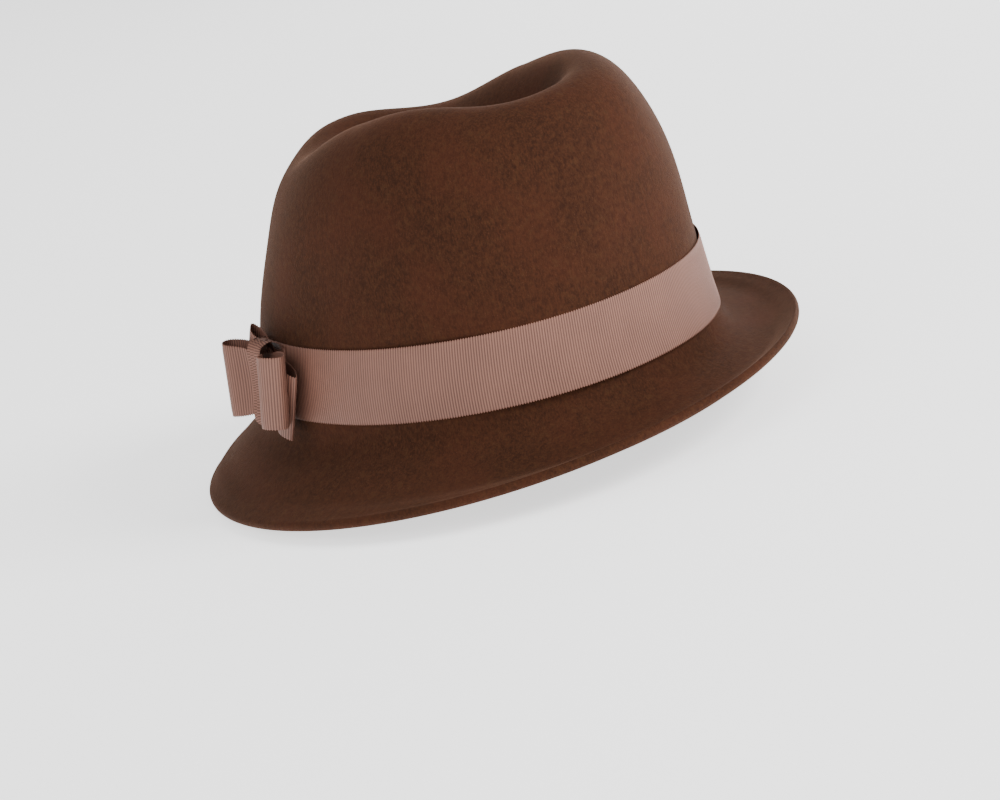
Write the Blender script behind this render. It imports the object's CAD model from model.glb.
import math
import bmesh
import bpy
import numpy as np
from mathutils import Matrix, Vector


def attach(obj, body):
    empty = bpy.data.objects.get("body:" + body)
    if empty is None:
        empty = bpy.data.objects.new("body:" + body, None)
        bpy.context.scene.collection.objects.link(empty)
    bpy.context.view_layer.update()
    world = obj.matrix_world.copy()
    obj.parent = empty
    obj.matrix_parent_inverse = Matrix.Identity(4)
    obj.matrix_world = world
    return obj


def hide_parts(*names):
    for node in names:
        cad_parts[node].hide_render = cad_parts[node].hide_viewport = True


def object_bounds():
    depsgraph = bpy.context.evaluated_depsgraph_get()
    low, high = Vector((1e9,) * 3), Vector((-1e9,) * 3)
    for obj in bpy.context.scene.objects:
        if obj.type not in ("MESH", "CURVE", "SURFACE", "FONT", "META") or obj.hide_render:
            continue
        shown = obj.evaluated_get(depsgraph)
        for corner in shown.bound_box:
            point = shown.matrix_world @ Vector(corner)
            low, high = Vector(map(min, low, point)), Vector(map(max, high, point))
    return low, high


# A lady's wool-felt trilby with a petersham band and a bow. Sizes are in metres. The wearer
# faces -Y, the wearer's left is +X, and Z is 0 where the crown wall turns into the brim.
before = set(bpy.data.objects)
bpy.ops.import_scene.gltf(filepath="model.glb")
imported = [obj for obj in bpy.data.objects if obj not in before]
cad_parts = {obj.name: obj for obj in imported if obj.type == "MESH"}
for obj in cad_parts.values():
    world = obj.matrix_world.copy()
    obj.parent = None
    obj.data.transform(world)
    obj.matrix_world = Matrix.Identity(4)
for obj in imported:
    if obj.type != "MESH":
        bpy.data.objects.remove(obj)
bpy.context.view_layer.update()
MM = 0.001

# ---------------------------------------------------------------- felt sizes
HEAD_HALF_LENGTH = 102 * MM
HEAD_HALF_WIDTH = 87 * MM
HEAD_SQUARENESS = 2.07
FELT = 2.3 * MM
BRIM_CENTRE = 2 * MM
BRIM_HALF_LENGTH = 134 * MM
BRIM_HALF_WIDTH = 121 * MM
BRIM_DROP = 11.5 * MM
BRIM_FRONT_LIFT = 8 * MM
BRIM_LEFT_LIFT = 8 * MM
BRIM_SAG = 1.5 * MM
BRIM_FRONT_SAG = 3.5 * MM
EDGE_SLOPE = math.pi / 6
CROWN_SQUARENESS = 2.26
CREST_HEIGHTS = (110, 106, 121, 122, 120.5, 124, 117, 105)
CREST_BULGES = (1, -2, -1, -4.5, 0, -3, -1, -2)
DENT_DEPTH = 24 * MM
DENT_SLOPE = 1.5 * MM
SPANS = 9

# ---------------------------------------------------------------- trimming sizes
RIBBON_WIDTH = 29.5 * MM
RIBBON_THICKNESS = 0.45 * MM
RIB_PITCH = 1.1 * MM
RIB_HEIGHT = 0.11 * MM
PICOT = 0.28 * MM
SIDES = (-1, -0.97, -0.8, -0.6, -0.4, -0.2, 0, 0.2, 0.4, 0.6, 0.8, 0.97, 1)
BAND_FOOT = 8.5 * MM
BAND_GAP = 0.3 * MM
BOW_ANGLE = math.radians(-109)
BAND_LAP = 12 / 102
BAND_FLARE = 1.6 * MM
BAND_LIFT = 0.6 * MM
LOOP_REACH = 25 * MM
LOOP_PUFF = 11 * MM
LOOP_WAIST = 4.2 * MM
LOOP_CLEAR = 4.9 * MM
UNDER_REACH = 22 * MM
UNDER_PUFF = 5 * MM
UNDER_WAIST = 2.0 * MM
UNDER_CLEAR = 1.7 * MM
UNDER_TILT = math.radians(22)
GATHER_REACH = 9 * MM
GATHER_SHARE = 0.2
KNOT_HEIGHT = 35 * MM
KNOT_DEPTH = 9.8 * MM
KNOT_WIDTH = 13 * MM
KNOT_CLEAR = 0.9 * MM
SWEATBAND_WIDTH = 27 * MM
SWEATBAND_FOOT = 1.5 * MM
SWEATBAND_THICKNESS = 0.9 * MM
SWEATBAND_GAP = 0.3 * MM
SWEATBAND_OPENING = 0.02
LABEL_ANGLE = math.radians(165)
LABEL_HALF_TURN = 11 / 102
LABEL_FOOT = 9 * MM
LABEL_HEIGHT = 11 * MM
LABEL_THICKNESS = 0.3 * MM
LABEL_STITCH_SPACING = 1.9 * MM
LABEL_STITCH_LENGTH = 1.4 * MM
TACK_REACH = 3.5 * MM
TACK_HEIGHT = 17.9 * MM
TACK_OFF_WALL = 5.8 * MM
STITCH_SPACING = 10 * MM
STITCH_LENGTH = 3 * MM
THREAD_RADIUS = 0.22 * MM


# ---------------------------------------------------------------- the blocked shape
def station_value(values, angle):
    """Smooth value at an angle from eight values 45 degrees apart, starting at the back."""
    total = 0
    for index, value in enumerate(values):
        turn = (angle + math.pi - index * math.pi / 4 + math.pi) % (2 * math.pi) - math.pi
        turn = np.where(abs(turn) < 1e-9, 1e-9, turn)
        total = total + value * MM * np.sin(4 * turn) / (8 * np.tan(turn / 2))
    return total


def level(angle, centre, half_length, half_width, height, squareness, bulge=0.0):
    power = 2 / squareness
    across = half_width * np.sign(np.sin(angle)) * abs(np.sin(angle)) ** power
    along = -half_length * np.sign(np.cos(angle)) * abs(np.cos(angle)) ** power
    grow = 1 + bulge / np.hypot(across, along)
    height = np.broadcast_to(height, angle.shape)
    return np.stack([across * grow, centre + along * grow, height], axis=-1)


def control_points(angle):
    """Twelve points from the brim edge, up the wall and over the crest, into the dent."""
    front = np.cos(angle)
    left = np.sin(angle)
    crest = station_value(CREST_HEIGHTS, angle)
    bulge = station_value(CREST_BULGES, angle)
    mean_crest = sum(CREST_HEIGHTS) / len(CREST_HEIGHTS) * MM
    floor = mean_crest - DENT_DEPTH + DENT_SLOPE * front
    edge_height = -BRIM_DROP + BRIM_FRONT_LIFT * front + BRIM_LEFT_LIFT * left
    edge = level(angle, BRIM_CENTRE, BRIM_HALF_LENGTH, BRIM_HALF_WIDTH, edge_height, 2.0)
    turn = level(angle, 0.0, HEAD_HALF_LENGTH, HEAD_HALF_WIDTH, 0.0, HEAD_SQUARENESS)
    sag = np.stack([0 * front, 0 * front, -BRIM_SAG - BRIM_FRONT_SAG * front], axis=-1)
    high = 81.5 * MM + 0.35 * (crest - mean_crest)
    length, width, middle = 66.5 * MM, 44 * MM, -12.5 * MM
    return np.stack([
        edge,
        turn + (edge - turn) * 0.72 + sag * 1.6,
        turn + (edge - turn) * 0.28 + sag * 0.8,
        turn,
        level(angle, 0.0, 101.5 * MM, 86.5 * MM, 20 * MM, HEAD_SQUARENESS),
        level(angle, -5.5 * MM, 98 * MM, 80 * MM, 51 * MM, HEAD_SQUARENESS),
        level(angle, -12 * MM, 91 * MM, 74 * MM, high, 2.17, 0.45 * bulge),
        level(angle, -13 * MM, 82.5 * MM, 61.5 * MM, crest - 8 * MM, CROWN_SQUARENESS, 0.9 * bulge),
        level(angle, middle, length, width, crest, CROWN_SQUARENESS, bulge),
        level(angle, middle, 0.82 * length, 0.62 * width, 0.62 * crest + 0.38 * floor,
              CROWN_SQUARENESS, 0.7 * bulge),
        level(angle, middle, 0.66 * length, 0.34 * width, floor, 2.0, 0.2 * bulge),
        level(angle, middle, 0.5 * length, 0.0, floor - 0.5 * MM, 2.0),
    ])


def spline_weights(step):
    """Weight of each of the twelve control points of a clamped cubic B-spline."""
    knots = np.concatenate([[0] * 3, np.arange(SPANS + 1), [SPANS] * 3])
    place = np.clip(step, 0, 1 - 1e-9) * SPANS
    weights = [(knots[k] <= place) * (place < knots[k + 1]) * 1.0 for k in range(SPANS + 6)]
    for order in (1, 2, 3):
        raised = []
        for k in range(SPANS + 6 - order):
            rise = knots[k + order] - knots[k]
            fall = knots[k + order + 1] - knots[k + 1]
            value = 0.0
            if rise:
                value = value + (place - knots[k]) / rise * weights[k]
            if fall:
                value = value + (knots[k + order + 1] - place) / fall * weights[k + 1]
            raised.append(value)
        weights = raised
    return np.stack(weights)


def felt_point(angle, step):
    """Outside of the felt. Step runs from 0 at the brim edge to 1 at the dent's floor."""
    angle, step = np.broadcast_arrays(angle, step)
    return (spline_weights(step)[..., None] * control_points(angle)).sum(axis=0)


def unit(vectors):
    return vectors / np.maximum(np.linalg.norm(vectors, axis=-1, keepdims=True), 1e-12)


def felt_normal(angle, step):
    reach = 0.001
    step = np.minimum(step, 0.985)
    around = felt_point(angle + reach, step) - felt_point(angle - reach, step)
    upward = felt_point(angle, step + reach) - felt_point(angle, np.maximum(step - reach, 0.0))
    return unit(np.cross(around, upward))


def smooth_step(value):
    value = np.clip(value, 0, 1)
    return value * value * (3 - 2 * value)


def hump(value, centre, reach):
    return np.exp(-((value - centre) / reach) ** 2)


def wall_step(angle, height):
    """Step on the crown wall at a given height above the brim break."""
    low = np.full(np.broadcast(angle, height).shape, 0.16)
    high = np.full(low.shape, 0.6)
    for _ in range(24):
        middle = (low + high) / 2
        below = felt_point(angle, middle)[..., 2] < height
        low = np.where(below, middle, low)
        high = np.where(below, high, middle)
    return (low + high) / 2


def wall_point(angle, height, offset):
    step = wall_step(angle, height)
    return felt_point(angle, step) + felt_normal(angle, step) * np.asarray(offset)[..., None]


# ---------------------------------------------------------------- mesh helpers
def make_mesh(name, points, faces, weld=0.0):
    mesh = bpy.data.meshes.new(name)
    mesh.from_pydata(points.reshape(-1, 3).tolist(), [], faces)
    piece = bpy.data.objects.new(name, mesh)
    bpy.context.collection.objects.link(piece)
    if weld:
        merge = piece.modifiers.new("weld", "WELD")
        merge.merge_threshold = weld
        flatten(piece)
    piece.data.polygons.foreach_set("use_smooth", [True] * len(piece.data.polygons))
    return piece


def flatten(piece):
    """Turns a piece with modifiers into a plain mesh."""
    evaluated = piece.evaluated_get(bpy.context.evaluated_depsgraph_get())
    mesh = bpy.data.meshes.new_from_object(evaluated)
    piece.modifiers.clear()
    piece.data = mesh


def grid_faces(rows, columns, around_rows=False, around_columns=False):
    """Quads of a grid of points, row by row, that may close on itself either way."""
    faces = []
    for row in range(rows if around_rows else rows - 1):
        for column in range(columns if around_columns else columns - 1):
            right = (column + 1) % columns
            below = (row + 1) % rows
            faces.append((row * columns + column, row * columns + right,
                          below * columns + right, below * columns + column))
    return faces


def finish_piece(piece, material, slot_name, *nodes):
    piece.data.materials.clear()
    piece.data.materials.append(material)
    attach(piece, "root")
    if nodes:
        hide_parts(*nodes)
    return piece


def fix_normals(piece):
    """Turns the faces outward on a closed mesh."""
    work = bmesh.new()
    work.from_mesh(piece.data)
    bmesh.ops.recalc_face_normals(work, faces=work.faces)
    work.to_mesh(piece.data)
    work.free()
    piece.data.polygons.foreach_set("use_smooth", [True] * len(piece.data.polygons))


# ---------------------------------------------------------------- shader helpers
class Maths:
    """Wraps a socket, so that node maths reads as plain arithmetic."""

    def __init__(self, tree, socket):
        self.tree = tree
        self.socket = socket

    def node(self, kind, settings=None, **values):
        made = self.tree.nodes.new(kind)
        for name, value in (settings or {}).items():
            setattr(made, name, value)
        for name, value in values.items():
            put(self.tree, made.inputs[name.replace("_", " ")], value)
        return made

    def operate(self, operation, *values):
        made = self.tree.nodes.new("ShaderNodeMath")
        made.operation = operation
        for index, value in enumerate(values):
            put(self.tree, made.inputs[index], value)
        return Maths(self.tree, made.outputs[0])

    def __add__(self, other):
        return self.operate("ADD", self, other)

    __radd__ = __add__

    def __mul__(self, other):
        return self.operate("MULTIPLY", self, other)

    __rmul__ = __mul__

    def __sub__(self, other):
        return self.operate("SUBTRACT", self, other)

    def __rsub__(self, other):
        return self.operate("SUBTRACT", other, self)

    def clamp(self):
        made = self.operate("MULTIPLY", self, 1.0)
        made.socket.node.use_clamp = True
        return made

    def between(self, low, high):
        """0 below low, 1 above high, smooth in between."""
        made = self.node("ShaderNodeMapRange", {"interpolation_type": "SMOOTHSTEP"},
                         Value=self, From_Min=low, From_Max=high)
        return Maths(self.tree, made.outputs["Result"])


def put(tree, socket, value):
    if isinstance(value, Maths):
        tree.links.new(value.socket, socket)
    elif hasattr(value, "is_output"):
        tree.links.new(value, socket)
    else:
        socket.default_value = value


def noise(maths, place, scale, detail=3.0, roughness=0.55):
    made = maths.node("ShaderNodeTexNoise", None, Vector=place, Scale=scale, Detail=detail,
                      Roughness=roughness)
    return Maths(maths.tree, made.outputs["Fac"])


def blend_colour(maths, share, first, second):
    made = maths.node("ShaderNodeMix", {"data_type": "RGBA"})
    put(maths.tree, made.inputs[0], share)
    put(maths.tree, made.inputs[6], first)
    put(maths.tree, made.inputs[7], second)
    return made.outputs[2]


def new_material(name):
    material = bpy.data.materials.new(name)
    material.use_nodes = True
    tree = material.node_tree
    shader = tree.nodes["Principled BSDF"]
    start = Maths(tree, None)
    place = start.node("ShaderNodeTexCoord").outputs["Object"]
    return material, tree, shader, start, place


def stretched(start, place, scale):
    made = start.node("ShaderNodeMapping", None, Vector=place, Scale=scale)
    return made.outputs["Vector"]


def add_bump(start, shader, height, strength, distance):
    made = start.node("ShaderNodeBump", None, Height=height, Strength=strength, Distance=distance)
    put(start.tree, shader.inputs["Normal"], made.outputs["Normal"])


# ---------------------------------------------------------------- materials
def felt_material():
    """Brown wool felt: mottled in several tones, with stray pale fibres and a soft sheen."""
    material, tree, shader, start, place = new_material("wool felt")
    cloud = noise(start, place, 30.0, 3.0)
    clump = noise(start, place, 420.0, 4.0, 0.6)
    fibre = noise(start, stretched(start, place, (1.0, 1.0, 0.45)), 1300.0, 3.0, 0.65)
    grain = noise(start, place, 2600.0, 2.0, 0.6)
    tone = (clump * 0.35 + fibre * 0.55 + cloud * 0.1).between(0.30, 0.70)
    dark = (0.022, 0.0070, 0.0028, 1)
    light = (0.058, 0.0195, 0.0078, 1)
    body = blend_colour(start, tone, dark, light)
    reddish = blend_colour(start, cloud.between(0.40, 0.70) * 0.3, body, (0.060, 0.0150, 0.0070, 1))
    olive = blend_colour(start, clump.between(0.52, 0.72) * 0.3, reddish, (0.047, 0.0230, 0.0085, 1))
    stray = blend_colour(start, grain.between(0.62, 0.74) * 0.4, olive, (0.120, 0.0540, 0.0310, 1))
    put(tree, shader.inputs["Base Color"], stray)
    put(tree, shader.inputs["Roughness"], (0.86 + fibre * 0.12).clamp())
    shader.inputs["Specular IOR Level"].default_value = 0.15
    shader.inputs["Sheen Weight"].default_value = 0.13
    shader.inputs["Sheen Roughness"].default_value = 0.38
    shader.inputs["Sheen Tint"].default_value = (0.90, 0.48, 0.30, 1)
    height = clump * 0.35 + fibre * 0.45 + grain * 0.3
    add_bump(start, shader, height, 0.55, 0.0006)
    return material


def ribbon_material(name, dark, light, sheen):
    """Ribbed ribbon: darker between the ribs, a soft lustre, faint uneven dye."""
    material, tree, shader, start, place = new_material(name)
    rib = start.node("ShaderNodeAttribute", {"attribute_name": "rib"}).outputs["Fac"]
    rib = Maths(tree, rib)
    dye = noise(start, place, 60.0, 3.0)
    yarn = noise(start, place, 2200.0, 3.0, 0.6)
    tone = rib * 0.62 + yarn * 0.28 + dye * 0.22
    put(tree, shader.inputs["Base Color"], blend_colour(start, tone.between(0.1, 0.95), dark, light))
    put(tree, shader.inputs["Roughness"], (0.62 - rib * 0.16 + yarn * 0.1).clamp())
    shader.inputs["Specular IOR Level"].default_value = 0.42
    shader.inputs["Sheen Weight"].default_value = sheen
    shader.inputs["Sheen Roughness"].default_value = 0.4
    shader.inputs["Sheen Tint"].default_value = (0.95, 0.75, 0.66, 1)
    add_bump(start, shader, yarn, 0.35, 0.0002)
    return material


def thread_material():
    """Twisted sewing thread."""
    material, tree, shader, start, place = new_material("sewing thread")
    twist = start.node("ShaderNodeTexWave", {"bands_direction": "DIAGONAL"}, Vector=place, Scale=900.0)
    twist = Maths(tree, twist.outputs["Fac"])
    put(tree, shader.inputs["Base Color"],
        blend_colour(start, twist, (0.035, 0.014, 0.008, 1), (0.11, 0.05, 0.03, 1)))
    put(tree, shader.inputs["Roughness"], (0.55 + twist * 0.15).clamp())
    add_bump(start, shader, twist, 0.4, 0.0001)
    return material


def label_material():
    """Blank woven label: a fine over-and-under weave."""
    material, tree, shader, start, place = new_material("woven label")
    warp = start.node("ShaderNodeTexWave", {"bands_direction": "Z"}, Vector=place, Scale=620.0)
    weft = start.node("ShaderNodeTexWave", {"bands_direction": "X"}, Vector=place, Scale=620.0)
    weave = Maths(tree, warp.outputs["Fac"]) * 0.5 + Maths(tree, weft.outputs["Fac"]) * 0.5
    put(tree, shader.inputs["Base Color"],
        blend_colour(start, weave, (0.40, 0.35, 0.28, 1), (0.68, 0.63, 0.54, 1)))
    put(tree, shader.inputs["Roughness"], (0.6 + weave * 0.2).clamp())
    add_bump(start, shader, weave, 0.5, 0.0002)
    return material


def floor_material():
    material, tree, shader, start, place = new_material("pale floor")
    patch = noise(start, place, 3.0, 2.0)
    put(tree, shader.inputs["Base Color"],
        blend_colour(start, patch, (0.86, 0.86, 0.86, 1), (0.89, 0.89, 0.89, 1)))
    shader.inputs["Roughness"].default_value = 0.9
    shader.inputs["Emission Color"].default_value = (1, 1, 1, 1)
    shader.inputs["Emission Strength"].default_value = 1.3
    return material


# ---------------------------------------------------------------- felt shell
def make_felt(material):
    """Crown and brim in one closed shell, with the brim edge folded under."""
    columns = 400
    angle = -math.pi + 2 * math.pi * np.arange(columns) / columns
    crown_steps = np.linspace(1.0, 0.1, 108)
    brim_steps = np.linspace(0.1, 0.0, 27)[1:]
    rings = []
    for step in np.concatenate([crown_steps, brim_steps]):
        ridge = 0.30 * MM * hump(step, 0.021, 0.012) - 0.22 * MM * hump(step, 0.048, 0.016)
        soft = (0.45 * MM * np.sin(3 * angle + 14 * step) * np.sin(9 * step + 1.0)
                + 0.25 * MM * np.sin(7 * angle - 23 * step + 2.0)) * smooth_step((0.9 - step) / 0.4)
        lift = ridge + soft * smooth_step(step / 0.1)
        rings.append(felt_point(angle, step) + felt_normal(angle, step) * np.asarray(lift)[..., None])
    edge = felt_point(angle, 0.0)
    outward = np.stack([np.sin(angle), -np.cos(angle), 0 * angle], axis=-1)
    up = np.array([0.0, 0.0, 1.0])
    for turn in np.radians(np.arange(15, 181, 15)):
        out = FELT * (math.sin(turn + EDGE_SLOPE) - math.sin(EDGE_SLOPE))
        drop = FELT * (math.cos(EDGE_SLOPE) - math.cos(turn + EDGE_SLOPE))
        rings.append(edge + outward * out - up * drop)
    square = outward * math.sin(EDGE_SLOPE) + up * math.cos(EDGE_SLOPE)
    hem_steps = np.linspace(0.003, 0.034, 10)
    lining_steps = np.concatenate([np.linspace(0.034, 0.12, 12), np.linspace(0.135, 1.0, 66)])
    for depth, steps in ((2 * FELT, hem_steps), (FELT, lining_steps)):
        for step in steps:
            share = smooth_step(step / 0.12)
            inward = unit(felt_normal(angle, step) * share + square * (1 - share))
            if step == 1.0:
                inward = np.broadcast_to(up, inward.shape)
            extra = 0.35 * MM * hump(step, 0.034, 0.006) if depth > FELT else 0.0
            rings.append(felt_point(angle, step) - inward * (depth - extra))
    points = np.stack(rings)
    faces = grid_faces(len(rings), columns, around_columns=True)
    piece = make_mesh("felt_shell", points, faces, weld=0.00002)
    return finish_piece(piece, material, "felt", "felt_body")


# ---------------------------------------------------------------- ribbons
def ribbon_mesh(name, track, thickness, length, closed, edge=PICOT):
    """A ribbed ribbon with picot edges.

    track takes the share of the length and the side, from -1 to 1 over the width, and gives
    the points, the directions across the ribbon and the directions out of it.
    """
    ribs = round(length / RIB_PITCH)
    per_rib = 6
    columns = ribs * per_rib + (0 if closed else 1)
    along = np.arange(columns) / (ribs * per_rib)
    phase = np.cos(2 * math.pi * along * ribs)
    rows = []
    for face in (1, -1):
        for side in SIDES if face > 0 else SIDES[::-1]:
            point, across, outward = track(along, side)
            flat = 1 - smooth_step((abs(side) - 0.9) / 0.1)
            raised = face * (thickness / 2 * (0.35 + 0.65 * flat) + RIB_HEIGHT / 2 * phase * flat)
            picot = edge * np.clip(phase, -0.4, 1) * math.copysign(abs(side) > 0.96, side)
            rows.append(point + across * picot[:, None] + outward * raised[:, None])
    faces = grid_faces(len(rows), columns, around_rows=True, around_columns=closed)
    if not closed:
        last = columns - 1
        faces.append(tuple(row * columns for row in range(len(rows)))[::-1])
        faces.append(tuple(row * columns + last for row in range(len(rows))))
    piece = make_mesh(name, np.stack(rows), faces)
    rib = piece.data.attributes.new("rib", "FLOAT", "POINT")
    rib.data.foreach_set("value", np.tile(0.5 + 0.5 * phase, len(rows)).astype(np.float32))
    fix_normals(piece)
    return piece


def wall_ribbon(name, start, end, foot, width, offset, thickness, edge=PICOT, flare=0.0, lift=0.0):
    """A ribbon that lies along the crown wall between two angles."""
    shares = np.linspace(0, 1, 500)
    angles = start + (end - start) * shares
    front = np.maximum(np.cos(angles), 0) ** 3
    tracks = {}
    for side in SIDES:
        step = wall_step(angles, foot + width * (side + 1) / 2)
        out = felt_normal(angles, step)
        rise = offset + thickness / 2 + lift * smooth_step((shares - 0.92) / 0.05)
        rise = rise + flare * front * ((1 - side) / 2) ** 2
        tracks[side] = (felt_point(angles, step) + out * rise[:, None], out)
    rungs = unit(tracks[1][0] - tracks[-1][0])
    length = np.linalg.norm(np.diff(tracks[0][0], axis=0), axis=1).sum()

    def pick(values, along):
        return np.stack([np.interp(along, shares, values[:, axis]) for axis in range(3)], axis=-1)

    def track(along, side):
        return pick(tracks[side][0], along), pick(rungs, along), pick(tracks[side][1], along)

    piece = ribbon_mesh(name, track, thickness, length, False, edge)
    return piece, length


def bow_frame(height):
    """Origin and axes of the bow on the crown wall: X runs back, Y off the wall, Z up."""
    angle = np.array([BOW_ANGLE])
    origin = wall_point(angle, height, RIBBON_THICKNESS + BAND_GAP)[0]
    off = felt_normal(angle, wall_step(angle, height))[0]
    forward = np.array([math.cos(BOW_ANGLE), math.sin(BOW_ANGLE), 0])
    up = unit(np.cross(off, forward))
    return origin, np.cross(off, up), off, up


def closed_curve(points):
    """Smooth closed curve through the points, by chord length. Returns a function of 0 to 1."""
    points = np.asarray(points, float)
    count = len(points)
    chord = np.linalg.norm(np.roll(points, -1, axis=0) - points, axis=1)
    matrix = np.zeros((count, count))
    right = np.zeros((count, points.shape[1]))
    for i in range(count):
        before, after = chord[i - 1], chord[i]
        matrix[i, i - 1] += after
        matrix[i, i] += 2 * (before + after)
        matrix[i, (i + 1) % count] += before
        right[i] = 3 * (after * (points[i] - points[i - 1]) / before
                        + before * (points[(i + 1) % count] - points[i]) / after)
    slopes = np.linalg.solve(matrix, right)
    knots = np.concatenate([[0], np.cumsum(chord)])

    def curve(share):
        place = (np.asarray(share) % 1.0) * knots[-1]
        i = np.clip(np.searchsorted(knots, place, side="right") - 1, 0, count - 1)
        j = (i + 1) % count
        t = ((place - knots[i]) / chord[i])[..., None]
        h = chord[i][..., None]
        return ((1 + 2 * t) * (1 - t) ** 2 * points[i] + t * (1 - t) ** 2 * h * slopes[i]
                + t * t * (3 - 2 * t) * points[j] + t * t * (t - 1) * h * slopes[j])

    fine = curve(np.arange(2000) / 2000)
    length = np.linalg.norm(np.roll(fine, -1, axis=0) - fine, axis=1).sum()
    return curve, length


def bow_ribbon(name, outline, width, clear, tilt, pinch, knot_half, cup, lean=0.0):
    """A closed loop of ribbon in the bow. It is gathered where it passes under the knot."""
    curve, length = closed_curve(outline)
    origin, back, off, up = bow_frame(BAND_FOOT + RIBBON_WIDTH / 2)
    cos_tilt, sin_tilt = math.cos(tilt), math.sin(tilt)
    axis_x = back * cos_tilt + up * sin_tilt
    axis_z = up * cos_tilt - back * sin_tilt

    def track(along, side):
        flat = curve(along)
        ahead = unit(curve(along + 0.0005) - curve(along - 0.0005))
        gathered = np.exp(-(flat[:, 0] / knot_half) ** 2)
        reach = side * width / 2 * (1 - pinch * gathered)
        cupped = cup * gathered * (side * side - 0.35) * np.sign(flat[:, 1] - 2 * MM)
        fanned = lean * (1 - gathered) * side * np.sign(flat[:, 0])
        x = flat[:, 0] + fanned
        y = flat[:, 1] + clear + cupped
        point = origin + x[:, None] * axis_x + y[:, None] * off + reach[:, None] * axis_z
        normal = ahead[:, 1][:, None] * axis_x - ahead[:, 0][:, None] * off
        return point, np.broadcast_to(axis_z, point.shape), normal

    return ribbon_mesh(name, track, RIBBON_THICKNESS, length, True), length


def loop_outline(reach, puff, waist):
    """Plan of a two-loop bow that dips to a waist at the knot."""
    near = 0.2 * MM
    points = [
        (0, near), (0.5 * reach, near), (0.86 * reach, 0.16 * puff), (reach, 0.45 * puff),
        (0.86 * reach, 0.88 * puff), (0.64 * reach, puff), (7 * MM, waist + 0.2 * MM), (0, waist),
    ]
    mirrored = [(-x, y) for x, y in points[1:-1]][::-1]
    return points + mirrored


def make_knot(material):
    """Short ribbon wrapped round the middle of the bow, drawn in to soft folds."""
    height, depth = KNOT_HEIGHT, KNOT_DEPTH
    outline = [
        (-height / 2, depth / 2), (-height / 2 + 1.5 * MM, depth - 0.6 * MM), (-height / 4, depth),
        (0, depth - 0.5 * MM), (height / 4, depth), (height / 2 - 1.5 * MM, depth - 0.6 * MM),
        (height / 2, depth / 2), (height / 2 - 1.5 * MM, 0.7 * MM), (0, 0.5 * MM),
        (-height / 2 + 1.5 * MM, 0.7 * MM),
    ]
    curve, length = closed_curve(outline)
    origin, back, off, up = bow_frame(BAND_FOOT + RIBBON_WIDTH / 2)
    width = KNOT_WIDTH

    def track(along, side):
        flat = curve(along)
        ahead = unit(curve(along + 0.001) - curve(along - 0.001))
        outer = smooth_step((flat[:, 1] - depth / 2) / (depth / 3))
        fold = 0.7 * MM * outer * (math.cos(3.2 * math.pi * side) - 0.4 * side * side)
        z, y = flat[:, 0], flat[:, 1] + KNOT_CLEAR
        normal = ahead[:, 0][:, None] * off - ahead[:, 1][:, None] * up
        x = side * width / 2 * (1 - 0.12 * outer)
        point = origin + x[:, None] * back + y[:, None] * off + z[:, None] * up
        return point + normal * fold[:, None], np.broadcast_to(back, point.shape), normal

    piece = ribbon_mesh("bow_wrap", track, RIBBON_THICKNESS, length, True)
    finish_piece(piece, material, "ribbon", "bow_knot")


def make_band(material):
    band, length = wall_ribbon("ribbon_band", BOW_ANGLE - BAND_LAP / 2,
                               BOW_ANGLE + 2 * math.pi + BAND_LAP / 2, BAND_FOOT, RIBBON_WIDTH,
                               BAND_GAP, RIBBON_THICKNESS, flare=BAND_FLARE, lift=BAND_LIFT)
    finish_piece(band, material, "ribbon", "hat_band")


def make_bow(material):
    """The outer ribbon's two loops, over the under ribbon, which lies at a slant."""
    outline = loop_outline(LOOP_REACH, LOOP_PUFF, LOOP_WAIST)
    outer, length = bow_ribbon("bow_outer_ribbon", outline, RIBBON_WIDTH, LOOP_CLEAR, 0.0,
                               GATHER_SHARE, GATHER_REACH, 2.2 * MM, 1.5 * MM)
    finish_piece(outer, material, "ribbon", "bow_outer_loops")
    outline = loop_outline(UNDER_REACH, UNDER_PUFF, UNDER_WAIST)
    under, length = bow_ribbon("bow_under_ribbon", outline, RIBBON_WIDTH, UNDER_CLEAR, UNDER_TILT,
                               GATHER_SHARE, GATHER_REACH, 1.0 * MM)
    finish_piece(under, material, "ribbon", "bow_under_loops")


def lining_face():
    """Offset of the sweatband's inner face from the outside of the felt."""
    return -FELT - SWEATBAND_GAP - SWEATBAND_THICKNESS


def make_sweatband(material):
    start = -math.pi + SWEATBAND_OPENING
    sweat, length = wall_ribbon("sweatband_ribbon", start, math.pi - SWEATBAND_OPENING,
                                SWEATBAND_FOOT, SWEATBAND_WIDTH, lining_face(),
                                SWEATBAND_THICKNESS, edge=0.05 * MM)
    finish_piece(sweat, material, "sweatband", "sweatband")


def make_label(material):
    label, length = wall_ribbon("blank_label", LABEL_ANGLE - LABEL_HALF_TURN,
                                LABEL_ANGLE + LABEL_HALF_TURN, LABEL_FOOT, LABEL_HEIGHT,
                                lining_face() - 2 * LABEL_THICKNESS, LABEL_THICKNESS, edge=0.0)
    finish_piece(label, material, "label", "size_label")


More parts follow.
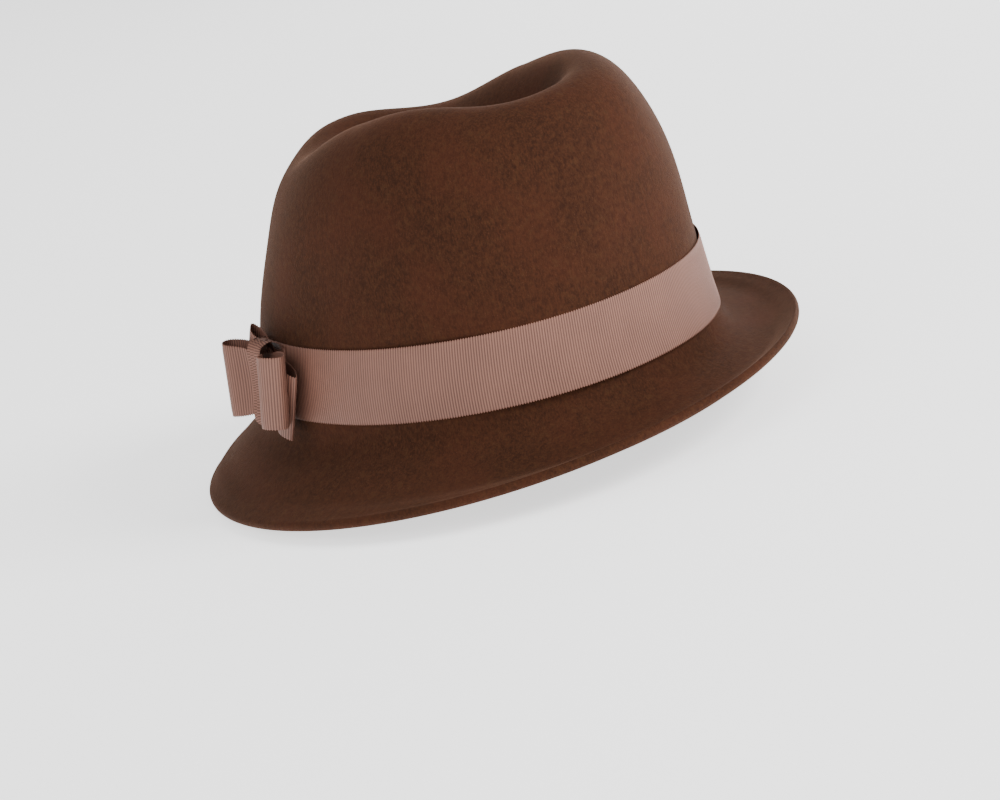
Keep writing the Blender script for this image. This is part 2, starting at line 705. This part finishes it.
# ---------------------------------------------------------------- stitches
def stitch_tree():
    """Geometry nodes: short lengths of thread along each curve, with a set spacing."""
    tree = bpy.data.node_groups.new("running stitch", "GeometryNodeTree")
    face = tree.interface
    face.new_socket("Geometry", in_out="INPUT", socket_type="NodeSocketGeometry")
    sizes = {}
    for name, value in (("Spacing", STITCH_SPACING), ("Length", STITCH_LENGTH), ("Radius", THREAD_RADIUS)):
        socket = face.new_socket(name, in_out="INPUT", socket_type="NodeSocketFloat")
        socket.default_value = value
        sizes[name] = socket.identifier
    material = face.new_socket("Thread", in_out="INPUT", socket_type="NodeSocketMaterial")
    sizes["Thread"] = material.identifier
    face.new_socket("Geometry", in_out="OUTPUT", socket_type="NodeSocketGeometry")

    def node(kind, settings=None, **values):
        made = tree.nodes.new(kind)
        for name, value in (settings or {}).items():
            setattr(made, name, value)
        for name, value in values.items():
            put(tree, made.inputs[name.replace("_", " ")], value)
        return made

    start = node("NodeGroupInput").outputs
    points = node("GeometryNodeCurveToPoints", {"mode": "LENGTH"}, Curve=start["Geometry"],
                  Length=start["Spacing"])
    ring = node("GeometryNodeCurvePrimitiveCircle", None, Resolution=8, Radius=start["Radius"])
    ends = []
    for share in (-0.5, 0.5):
        reach = node("ShaderNodeMath", {"operation": "MULTIPLY"})
        put(tree, reach.inputs[0], start["Length"])
        reach.inputs[1].default_value = share
        ends.append(node("ShaderNodeCombineXYZ", None, Z=reach.outputs[0]).outputs[0])
    line = node("GeometryNodeCurvePrimitiveLine", None, Start=ends[0], End=ends[1])
    smooth = node("GeometryNodeResampleCurve", None, Curve=line.outputs[0], Count=7)
    share = node("GeometryNodeSplineParameter").outputs["Factor"]
    arch = node("ShaderNodeMath", {"operation": "PINGPONG"})
    put(tree, arch.inputs[0], share)
    arch.inputs[1].default_value = 0.5
    thick = node("ShaderNodeMapRange", {"interpolation_type": "SMOOTHSTEP"}, Value=arch.outputs[0],
                 From_Max=0.2, To_Min=0.35, To_Max=1.0)
    tube = node("GeometryNodeCurveToMesh", None, Curve=smooth.outputs[0],
                Profile_Curve=ring.outputs[0], Scale=thick.outputs[0], Fill_Caps=True)
    copies = node("GeometryNodeInstanceOnPoints", None, Points=points.outputs["Points"],
                  Instance=tube.outputs[0], Rotation=points.outputs["Rotation"])
    real = node("GeometryNodeRealizeInstances", None, Geometry=copies.outputs[0])
    painted = node("GeometryNodeSetMaterial", None, Geometry=real.outputs[0], Material=start["Thread"])
    finish = node("NodeGroupOutput")
    put(tree, finish.inputs["Geometry"], painted.outputs[0])
    return tree, sizes


def stitch_along(name, paths, tree, sizes, material, cad_node, spacing, length):
    """Runs the stitch tree along paths of points and keeps the result as a plain mesh."""
    curve = bpy.data.curves.new(name + "_path", "CURVE")
    curve.dimensions = "3D"
    for path in paths:
        line = curve.splines.new("POLY")
        line.points.add(len(path) - 1)
        for point, place in zip(line.points, path):
            point.co = (*place, 1)
    piece = bpy.data.objects.new(name + "_path", curve)
    bpy.context.collection.objects.link(piece)
    modifier = piece.modifiers.new("stitches", "NODES")
    modifier.node_group = tree
    modifier[sizes["Spacing"]] = spacing
    modifier[sizes["Length"]] = length
    modifier[sizes["Thread"]] = material
    evaluated = piece.evaluated_get(bpy.context.evaluated_depsgraph_get())
    mesh = bpy.data.meshes.new_from_object(evaluated)
    bpy.data.objects.remove(piece)
    stitches = bpy.data.objects.new(name, mesh)
    bpy.context.collection.objects.link(stitches)
    finish_piece(stitches, material, "thread", cad_node)
    stitches.data.polygons.foreach_set("use_smooth", [True] * len(stitches.data.polygons))


def sew(thread):
    """Running stitch on the sweatband, two rows on the label and four tacks on the bow."""
    tree, sizes = stitch_tree()
    turns = np.linspace(-math.pi + 2 * SWEATBAND_OPENING, math.pi - 2 * SWEATBAND_OPENING, 500)
    foot = wall_point(turns, SWEATBAND_FOOT + 1.5 * MM, lining_face() - 0.25 * MM)
    stitch_along("sweatband_thread", [foot], tree, sizes, thread, "sweatband_stitches",
                 STITCH_SPACING, STITCH_LENGTH)
    sides = []
    for side in (-1, 1):
        angle = LABEL_ANGLE + side * LABEL_HALF_TURN * 0.86
        heights = np.linspace(LABEL_FOOT + 1.5 * MM, LABEL_FOOT + 9.5 * MM, 12)
        sides.append(wall_point(np.full(12, angle), heights, lining_face() - 0.8 * MM))
    stitch_along("label_thread", sides, tree, sizes, thread, "label_stitches",
                 LABEL_STITCH_SPACING, LABEL_STITCH_LENGTH)
    origin, back, off, up = bow_frame(BAND_FOOT + RIBBON_WIDTH / 2)
    tacks = []
    for end in (-1, 1):
        for along in (-TACK_REACH, TACK_REACH):
            middle = origin + back * along + up * end * TACK_HEIGHT + off * TACK_OFF_WALL
            tacks.append(np.stack([middle - off * 2 * MM, middle + off * 2 * MM]))
    stitch_along("bow_thread", tacks, tree, sizes, thread, "bow_stitches",
                 LABEL_STITCH_SPACING, LABEL_STITCH_LENGTH)


# ---------------------------------------------------------------- build the hat
def build_hat():
    felt = felt_material()
    ribbon = ribbon_material("petersham ribbon", (0.078, 0.032, 0.022, 1), (0.262, 0.119, 0.082, 1), 0.06)
    lining = ribbon_material("sweatband", (0.020, 0.010, 0.006, 1), (0.065, 0.032, 0.020, 1), 0.1)
    thread = thread_material()

    make_felt(felt)

    make_band(ribbon)
    make_bow(ribbon)
    make_knot(ribbon)
    make_sweatband(lining)
    make_label(label_material())
    sew(thread)


# ---------------------------------------------------------------- stage, light, camera
CAMERA_AZIMUTH = math.radians(-39)
CAMERA_ELEVATION = math.radians(13)
CAMERA_ROLL = math.radians(-15)
CAMERA_DISTANCE = 1.2275
FOCAL_PIXELS = 3004
CENTRE_RIGHT, CENTRE_UP = -38 / FOCAL_PIXELS, 154.5 / FOCAL_PIXELS
CAMERA_BACK = Vector((math.sin(CAMERA_AZIMUTH) * math.cos(CAMERA_ELEVATION),
                      -math.cos(CAMERA_AZIMUTH) * math.cos(CAMERA_ELEVATION),
                      math.sin(CAMERA_ELEVATION)))
LEVEL_RIGHT = Vector((math.cos(CAMERA_AZIMUTH), math.sin(CAMERA_AZIMUTH), 0))
LEVEL_UP = CAMERA_BACK.cross(LEVEL_RIGHT)
CAMERA_RIGHT = LEVEL_RIGHT * math.cos(CAMERA_ROLL) + LEVEL_UP * math.sin(CAMERA_ROLL)
CAMERA_UP = LEVEL_UP * math.cos(CAMERA_ROLL) - LEVEL_RIGHT * math.sin(CAMERA_ROLL)


def add_area(name, place, aim, size, power):
    light = bpy.data.lights.new(name, "AREA")
    light.shape = "DISK"
    light.size = size
    light.energy = power
    lamp = bpy.data.objects.new(name, light)
    lamp.location = place
    lamp.rotation_mode = "QUATERNION"
    lamp.rotation_quaternion = (Vector(aim) - Vector(place)).to_track_quat("-Z", "Y")
    bpy.context.collection.objects.link(lamp)


def build_stage():
    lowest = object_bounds()[0].z
    points = np.array([(x, y, lowest) for x, y in ((-6, -6), (6, -6), (6, 6), (-6, 6))])
    floor = make_mesh("floor", points, [(0, 1, 2, 3)])
    floor.data.materials.append(floor_material())
    world = bpy.data.worlds.new("studio")
    world.use_nodes = True
    world.node_tree.nodes["Background"].inputs[0].default_value = (1, 1, 1, 1)
    world.node_tree.nodes["Background"].inputs[1].default_value = 0.66
    bpy.context.scene.world = world
    centre = (0, 0, 0.05)
    add_area("key", CAMERA_RIGHT * 1.1 + CAMERA_UP * 1.3 + CAMERA_BACK * 0.9, centre, 0.9, 40)
    add_area("fill", CAMERA_RIGHT * -1.2 + CAMERA_UP * 0.5 + CAMERA_BACK * 1.3, centre, 1.4, 9)
    add_area("rim", CAMERA_RIGHT * 0.6 + CAMERA_UP * 0.9 - CAMERA_BACK * 1.3, centre, 1.0, 12)


def add_camera():
    """Looks at the hat from its right front, with the hat's middle above the frame's."""
    camera = bpy.data.objects.new("camera", bpy.data.cameras.new("camera"))
    bpy.context.collection.objects.link(camera)
    camera.data.sensor_width = 36
    camera.data.lens = FOCAL_PIXELS / 1000 * 36
    camera.data.clip_start = 0.05
    aim = (-CAMERA_BACK - CAMERA_RIGHT * CENTRE_RIGHT - CAMERA_UP * CENTRE_UP).normalized()
    right = (CAMERA_RIGHT - aim * CAMERA_RIGHT.dot(aim)).normalized()
    up = right.cross(aim)
    camera.matrix_world = Matrix((
        (right.x, up.x, -aim.x, CAMERA_BACK.x * CAMERA_DISTANCE),
        (right.y, up.y, -aim.y, CAMERA_BACK.y * CAMERA_DISTANCE),
        (right.z, up.z, -aim.z, CAMERA_BACK.z * CAMERA_DISTANCE + 0.05175),
        (0, 0, 0, 1)))
    bpy.context.scene.camera = camera


build_hat()
build_stage()
add_camera()
